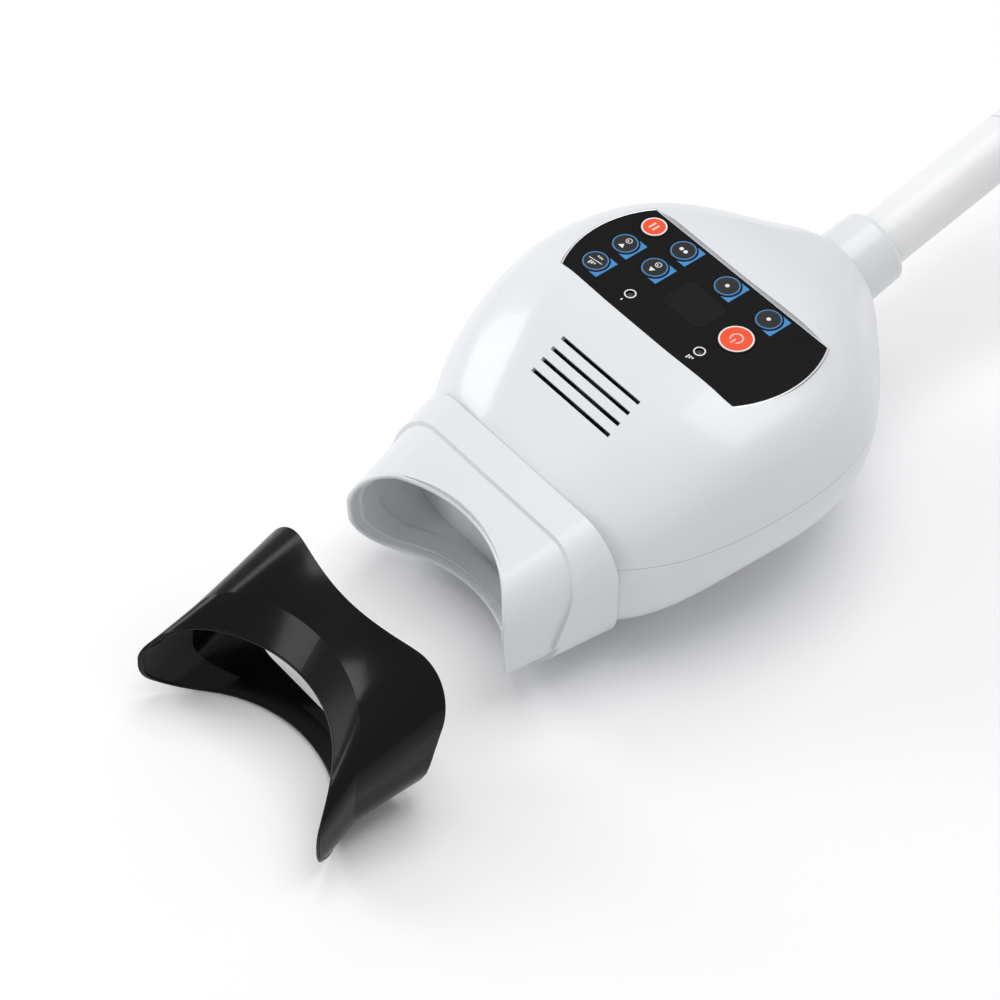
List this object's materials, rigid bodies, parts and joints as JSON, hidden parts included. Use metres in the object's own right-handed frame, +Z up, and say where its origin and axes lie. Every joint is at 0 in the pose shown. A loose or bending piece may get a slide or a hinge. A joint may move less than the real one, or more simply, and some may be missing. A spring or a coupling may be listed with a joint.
{
  "type": "teeth whitening lamp",
  "caption": "Lamp head on an arm tube, with a mouth-shaped light nozzle, a key panel, vent slots and a removable light hood that lies in front.",
  "frame": {"origin": "on the table, under the middle of the lamp's length and width", "axes": "+X across the head, +Y from the nozzle to the arm, +Z up out of the key panel"},
  "size_m": [0.1478, 0.427, 0.0979],
  "materials": {
    "white_casing": "smooth moulded, soft sheen",
    "white_tube": "powder coat",
    "panel_black": "high gloss",
    "smoked_window": "smoked",
    "display_body": "satin",
    "indicator_lens": "translucent",
    "key_black": "gloss",
    "grey_trim": "satin",
    "clear_window": "clear",
    "dark_rubber": "matte",
    "bright_reflector": "bright",
    "lamp_board": "white solder mask",
    "blue_chip": "domed",
    "red_chip": "domed",
    "bare_aluminium": "extruded",
    "steel_screw": "plated",
    "spring_steel": "blued",
    "black_plastic": "satin",
    "green_board": "solder mask",
    "switch_body": "satin",
    "driver_part": "satin",
    "grey_lead": "satin",
    "ivory_plastic": "satin",
    "hood_black": "high gloss"
  },
  "bodies": {
    "head": {"upper_shell": "white_casing", "lower_shell": "white_casing", "nozzle_upper": "white_casing", "nozzle_lower": "white_casing", "mouth_trim": "grey_trim", "window_lens": "clear_window", "window_gasket": "dark_rubber", "reflector": "bright_reflector", "led_board": "lamp_board", "blue_emitters": "blue_chip", "red_emitters": "red_chip", "heat_sink": "bare_aluminium", "engine_screws": "steel_screw", "fan_frame": "black_plastic", "fan_screws": "steel_screw", "panel_overlay": "panel_black", "display_window": "smoked_window", "display_module": "display_body", "indicator_leds": "indicator_lens", "key_switches": "switch_body", "control_board": "green_board", "board_screws": "steel_screw", "buzzer": "black_plastic", "driver_board": "green_board", "driver_parts": "driver_part", "driver_screws": "steel_screw", "board_link": "grey_lead", "link_sockets": "ivory_plastic", "lamp_lead": "grey_lead", "head_lead": "grey_lead", "casing_screws": "steel_screw", "rear_collar": "white_casing", "swivel_bush": "ivory_plastic", "collar_seal": "dark_rubber", "friction_washer": "spring_steel"},
    "arm": {"arm_tube": "white_tube", "retaining_ring": "spring_steel", "stop_pin": "steel_screw", "arm_lead": "grey_lead", "arm_connector": "black_plastic"},
    "hood": {"light_hood": "hood_black", "hood_clips": "hood_black"},
    "fan": {"fan_rotor": "black_plastic"},
    "key_body_pause": {"key_pause": "key_black"},
    "key_body_time_down": {"key_time_down": "key_black"},
    "key_body_high_low": {"key_high_low": "key_black"},
    "key_body_time_up": {"key_time_up": "key_black"},
    "key_body_two_colours": {"key_two_colours": "key_black"},
    "key_body_red_light": {"key_red_light": "key_black"},
    "key_body_blue_light": {"key_blue_light": "key_black"},
    "key_body_on_off": {"key_on_off": "key_black"}
  },
  "joints": [
    {"name": "hood_slide", "type": "slide", "parent": "head", "child": "hood", "axis": [-0.1474, 0.9878, 0.0494], "range_m": [0, 0.06104]},
    {"name": "arm_swivel", "type": "hinge", "parent": "head", "child": "arm", "pos_m": [0, 0.07343, 0.05847], "axis": [0, 0.979, 0.2036], "range_deg": [-158, 158]},
    {"name": "fan_spin", "type": "hinge", "parent": "head", "child": "fan", "pos_m": [0, -0.04423, 0.06933], "axis": [0, -0.4147, 0.91], "continuous": true},
    {"name": "key_pause_press", "type": "slide", "parent": "head", "child": "key_body_pause", "axis": [0, 0, -1], "range_m": [0, 0.0004], "stiffness_N_per_m": 2000, "springref_m": -0.0003},
    {"name": "key_time_down_press", "type": "slide", "parent": "head", "child": "key_body_time_down", "axis": [0, 0, -1], "range_m": [0, 0.0004], "stiffness_N_per_m": 2000, "springref_m": -0.0003},
    {"name": "key_high_low_press", "type": "slide", "parent": "head", "child": "key_body_high_low", "axis": [0, 0, -1], "range_m": [0, 0.0004], "stiffness_N_per_m": 2000, "springref_m": -0.0003},
    {"name": "key_time_up_press", "type": "slide", "parent": "head", "child": "key_body_time_up", "axis": [0, 0, -1], "range_m": [0, 0.0004], "stiffness_N_per_m": 2000, "springref_m": -0.0003},
    {"name": "key_two_colours_press", "type": "slide", "parent": "head", "child": "key_body_two_colours", "axis": [0, 0, -1], "range_m": [0, 0.0004], "stiffness_N_per_m": 2000, "springref_m": -0.0003},
    {"name": "key_red_light_press", "type": "slide", "parent": "head", "child": "key_body_red_light", "axis": [0, 0, -1], "range_m": [0, 0.0004], "stiffness_N_per_m": 2000, "springref_m": -0.0003},
    {"name": "key_blue_light_press", "type": "slide", "parent": "head", "child": "key_body_blue_light", "axis": [0, 0, -1], "range_m": [0, 0.0004], "stiffness_N_per_m": 2000, "springref_m": -0.0003},
    {"name": "key_on_off_press", "type": "slide", "parent": "head", "child": "key_body_on_off", "axis": [0, 0, -1], "range_m": [0, 0.0004], "stiffness_N_per_m": 2000, "springref_m": -0.0003}
  ]
}
